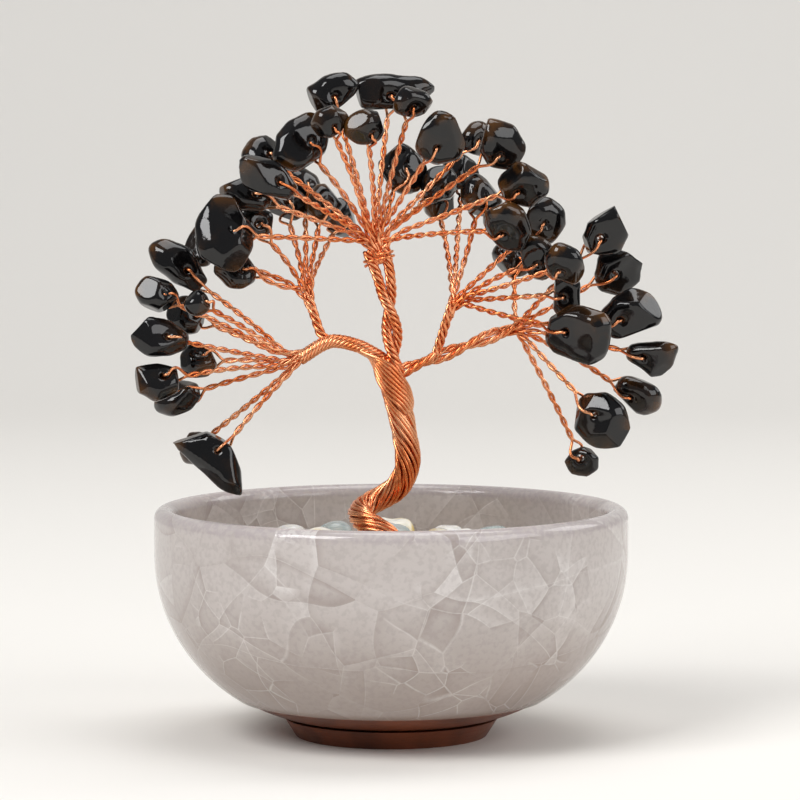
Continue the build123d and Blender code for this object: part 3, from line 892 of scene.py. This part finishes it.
def folded_wire(start, tip, hole, axis, leg, bough, seed):
    """Return one wire's route: up as one strand, through the hole, and back as the other."""
    line = twig_line(start, tip, bough, seed)
    along = unit(np.gradient(line, axis=0))
    wide = unit(axis - along * (along @ axis)[:, None])
    far = travelled(line)[:, None]
    looser = 1 + TWIST_VARIES * noise.noise(Vector((seed * TWIST_SHIFT, 0, 0)))
    turn = math.tau * (far[-1] - far) / (TWIST_PITCH * looser)
    offset = (wide * np.cos(turn) + np.cross(along, wide) * np.sin(turn)) * WIRE_RADIUS * TWIST_SLACK
    way = unit(tip - start)
    legs = []
    for sign in (1, -1):
        bulge = sign + LOOP_VARIES * noise.noise(Vector((seed * LOOP_SHIFT, sign, BETWEEN)))
        sway = np.cross(way, axis) * LOOP_SWAY * bulge
        out = axis * (sign * leg)
        foot = tip + axis * (sign * WIRE_RADIUS)
        shoulder = hole + out - way * LOOP_ROUND
        belly = (tip + hole) / 2 + out * LOOP_BULGE + sway
        rise = bezier([foot, foot + way * LOOP_RISE, belly, shoulder], LEG_POINTS)
        bend = bezier([shoulder, hole + out, hole + out - axis * (sign * LOOP_ROUND)], BEND_POINTS)
        legs.append(np.concatenate([line[:-1] + sign * offset[:-1], rise, bend[1:]]))
    return np.concatenate([legs[0], legs[1][::-1]])


holes = []
hole_axes = []
for fan, bough in twig_boughs.items():
    routes = []
    for start, tip, hole, axis, leg in twig_places(fan):
        holes.append(hole)
        hole_axes.append(axis)
        routes.append(folded_wire(start, tip, hole, axis, leg, bough_lines[bough], len(holes)))
    name = fan + "_twig_wires"
    show(name, wire_mesh(name, routes, WIRE_RADIUS), "tree", "copper_wire", fan + "_twigs", "wire_loops")


# Chips: black volcanic glass, broken small, tumbled to a gloss and drilled for the wire.
# Tumbling rounds the edges but leaves flat breaks, and thin edges show smoky amber. Upper chips that
# have room are wider, and two that pass close to each other as they swing are plumped less.
GLASS_BLACK = "#0b0a0b"
GLASS_SMOKE = "#1d130d"
GLASS_AMBER = "#5a3812"
GLASS_IOR = 1.5
GLASS_ROUGHNESS = {"From_Min": 0.45, "From_Max": 0.8, "To_Min": 0.03, "To_Max": 0.14}
SMOKE_GRAIN = 4 * MM
GLASS_DETAIL = 4
SMOKE_SHARES = {"From_Min": 0.45, "From_Max": 0.7}
AMBER_SHARES = {"From_Min": 0.46, "From_Max": 0.58}
EDGE_SHARES = {"From_Min": 0.6, "From_Max": 1, "To_Max": 0.7}
PIT_GRAIN = 0.9 * MM
PIT_RELIEF = 0.12 * MM
PIT_STRENGTH = 0.15
CHIP_VOXEL = 0.2 * MM
CHIP_PLUMP = 0.54 * MM
REAR_PLUMP = 0.75 * MM
LOOSE_PLUMP = 0.26 * MM
CLOSE_PLUMP = 0.1 * MM
CHIP_SWELL = 0.75 * MM
UPPER_SPREAD = 0.3
CHIP_GRAIN = 4.2 * MM
CHIP_ROUNDS = 10
EDGE_ROUNDS = 5
BREAKS = 5
BREAK_SHARES = (0.06, 0.15)
BREAK_CLEAR = 1.2 * MM
SEEDS_PER_NODE = 20
close_chips = ("right_lower_chip_3", "right_lower_chip_6")
upper_chips = ("crown", "left_upper", "right_upper")
crowded_chips = [f"crown_chip_{number}" for number in (3, 9, 10, 12, 13, 14)]


def make_obsidian():
    """Return glossy black glass, amber where it is thin."""
    material, tree, shader = new_material("tumbled_obsidian", IOR=GLASS_IOR)
    place = add(tree, "ShaderNodeTexCoord", "Object")
    cloud = add(tree, "ShaderNodeTexNoise", Vector=place, Scale=1 / SMOKE_GRAIN, Detail=GLASS_DETAIL)
    smoke = add(tree, "ShaderNodeMapRange", 0, SOFT, Value=cloud, **SMOKE_SHARES)
    amber = add(tree, "ShaderNodeMapRange", 0, SOFT, Value=cloud, **AMBER_SHARES)
    rim = add(tree, "ShaderNodeAttribute", "Fac", {"attribute_name": "rim_share"})
    rim = add(tree, "ShaderNodeMapRange", 0, SOFT, Value=rim, **EDGE_SHARES)
    thin = add(tree, "ShaderNodeMath", 0, TIMES, in_0=rim, in_1=amber)
    glass = add(tree, "ShaderNodeMix", 2, COLOURS, in_0=smoke, in_6=GLASS_BLACK, in_7=GLASS_SMOKE)
    glass = add(tree, "ShaderNodeMix", 2, COLOURS, in_0=thin, in_6=glass, in_7=GLASS_AMBER)
    pits = add(tree, "ShaderNodeTexNoise", Vector=place, Scale=1 / PIT_GRAIN, Detail=GLASS_DETAIL)
    rough = add(tree, "ShaderNodeMapRange", 0, SOFT, Value=pits, **GLASS_ROUGHNESS)
    bump = add(tree, "ShaderNodeBump", Height=pits, Strength=PIT_STRENGTH, Distance=PIT_RELIEF)
    tree.links.new(glass, shader.inputs["Base Color"])
    tree.links.new(rough, shader.inputs["Roughness"])
    tree.links.new(bump, shader.inputs["Normal"])
    return material


def broken(points, hole, dice):
    """Return a chip's points with flat breaks at a few places clear of the hole."""
    middle = points.mean(axis=0)
    for _ in range(BREAKS):
        way = unit(np.array([dice.gauss(0, 1) for _ in range(3)]))
        far = (points - middle) @ way
        cut = far.max() - dice.uniform(*BREAK_SHARES) * np.ptp(far)
        if (hole - middle) @ way < cut - BREAK_CLEAR:
            points = points - np.maximum(far - cut, 0)[:, None] * way
    return points


def tumbled_chip(points, faces, plump, spread, seed):
    """Return the points and faces of one chip, worn, swelled, spread sideways and broken."""
    middle = points.mean(axis=0)
    nearest = np.linalg.norm(np.array(holes) - middle, axis=1).argmin()
    hole = holes[nearest]
    side = unit(np.cross(hole_axes[nearest], middle - hole))
    corners, edges, squares = remeshed(points, faces, CHIP_VOXEL)
    corners = relaxed(corners, edges, CHIP_ROUNDS)
    corners = swelled(corners, squares, plump, CHIP_SWELL, CHIP_GRAIN, seed)
    sideways = ((corners - hole) @ side)[:, None] * side
    corners = broken(corners + sideways * spread, hole, random.Random(seed))
    return relaxed(corners, edges, EDGE_ROUNDS), squares


def rim_shares(points):
    """Return how far towards its rim each point of a chip lies."""
    out = np.linalg.norm(points - points.mean(axis=0), axis=1)
    return out / out.max()


obsidian = make_obsidian()
bodies = frame["record"]["behaviour"]["bodies"]
body_of_node = {node: body for body, members in bodies.items() for node in members}
for group, node in enumerate(sorted(name for name in nodes if "chip" in name)):
    held = body_of_node[node] == "tree"
    plump = CHIP_PLUMP if held else LOOSE_PLUMP
    if node == "rear_chips":
        plump = REAR_PLUMP
    if node in close_chips:
        plump = CLOSE_PLUMP
    has_room = held and node.startswith(upper_chips) and node not in crowded_chips
    spread = UPPER_SPREAD if has_room else 0
    chips = []
    for seed, (points, faces) in enumerate(islands(node), SEEDS_PER_NODE * group):
        chips.append(tumbled_chip(points, faces, plump, spread, seed))
    mesh = smooth_mesh(node, *joined(chips), obsidian)
    rim = mesh.attributes.new("rim_share", "FLOAT", "POINT")
    rim.data.foreach_set("value", np.concatenate([rim_shares(points) for points, _ in chips]))
    show("tumbled_" + node, mesh, body_of_node[node], "obsidian", node)
